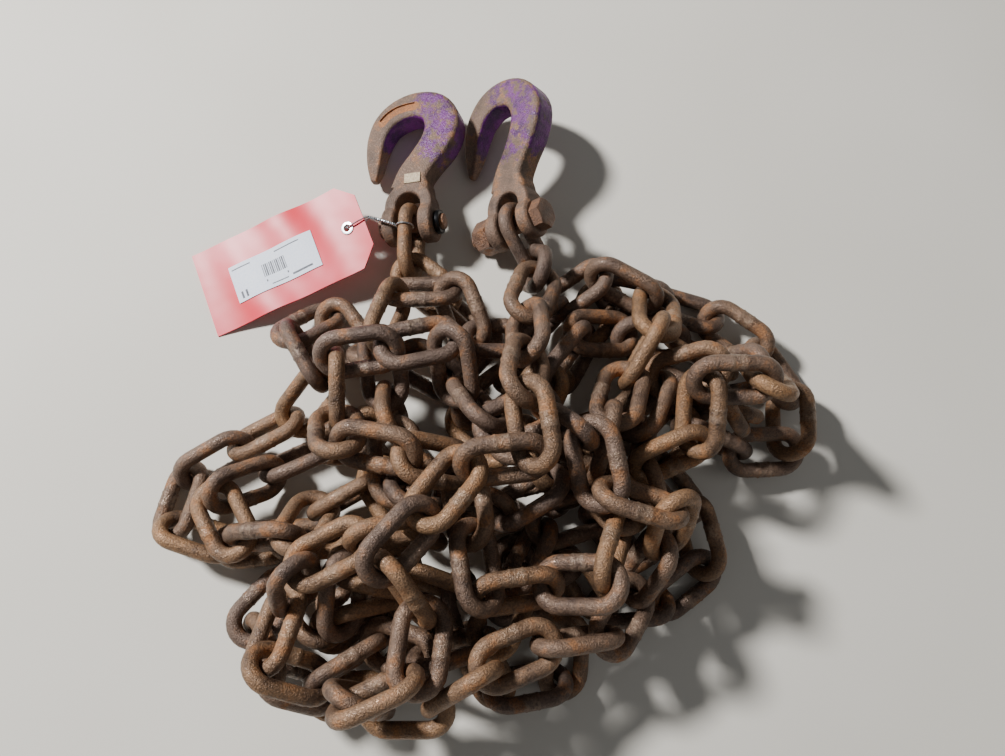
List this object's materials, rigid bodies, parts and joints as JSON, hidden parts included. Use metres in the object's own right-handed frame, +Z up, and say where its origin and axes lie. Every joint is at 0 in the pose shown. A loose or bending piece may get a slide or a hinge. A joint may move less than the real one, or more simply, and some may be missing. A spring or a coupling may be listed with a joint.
{
  "type": "heap of steel chain",
  "caption": "Loose heap of rusty welded steel chain ending in two forged clevis hooks laid side by side, with a tag wired to its first link.",
  "frame": {"origin": "middle of the heap's footprint, on the floor", "axes": "+Z up; +Y from the heap towards the hooks' bows; +X to the right, from the tagged hook to the bolted hook"},
  "size_m": [0.4442, 0.4428, 0.1186],
  "materials": {
    "rusty_chain_steel": "rough, rusted brown with orange patches",
    "worn_purple_paint": "purple paint worn through to brown rust",
    "fastener_steel": "rusted brown",
    "keeper_steel": "dark oiled steel",
    "tag_card": "glossy pinkish-red coating",
    "label_paper": "matt white",
    "zinc_metal": "bright zinc plate"
  },
  "bodies": {
    "root": {"chain_run_01": "rusty_chain_steel", "chain_run_02": "rusty_chain_steel", "chain_run_03": "rusty_chain_steel", "chain_run_04": "rusty_chain_steel", "chain_run_05": "rusty_chain_steel", "chain_run_06": "rusty_chain_steel", "chain_run_07": "rusty_chain_steel", "chain_run_08": "rusty_chain_steel", "chain_run_09": "rusty_chain_steel", "chain_run_10": "rusty_chain_steel", "chain_run_11": "rusty_chain_steel", "chain_run_12": "rusty_chain_steel", "chain_run_13": "rusty_chain_steel", "chain_run_14": "rusty_chain_steel", "chain_run_15": "rusty_chain_steel", "chain_run_16": "rusty_chain_steel", "chain_run_17": "rusty_chain_steel", "chain_run_18": "rusty_chain_steel", "chain_run_19": "rusty_chain_steel", "chain_run_20": "rusty_chain_steel", "chain_run_21": "rusty_chain_steel", "chain_run_22": "rusty_chain_steel", "chain_run_23": "rusty_chain_steel", "chain_run_24": "rusty_chain_steel", "chain_run_25": "rusty_chain_steel", "chain_run_26": "rusty_chain_steel", "chain_run_27": "rusty_chain_steel", "chain_run_28": "rusty_chain_steel", "chain_run_29": "rusty_chain_steel", "chain_run_30": "rusty_chain_steel", "chain_run_31": "rusty_chain_steel", "chain_run_32": "rusty_chain_steel", "chain_run_33": "rusty_chain_steel", "chain_run_34": "rusty_chain_steel", "chain_run_35": "rusty_chain_steel", "chain_run_36": "rusty_chain_steel", "chain_run_37": "rusty_chain_steel", "chain_run_38": "rusty_chain_steel", "chain_run_39": "rusty_chain_steel", "chain_run_40": "rusty_chain_steel", "left_hook": "worn_purple_paint", "left_pin": "fastener_steel", "pin_keeper": "keeper_steel", "right_bolt": "fastener_steel", "right_hook": "worn_purple_paint", "right_nut": "fastener_steel", "tag": "tag_card", "tag_eyelet": "zinc_metal", "tag_label": "label_paper", "tag_wire": "zinc_metal"}
  },
  "joints": []
}
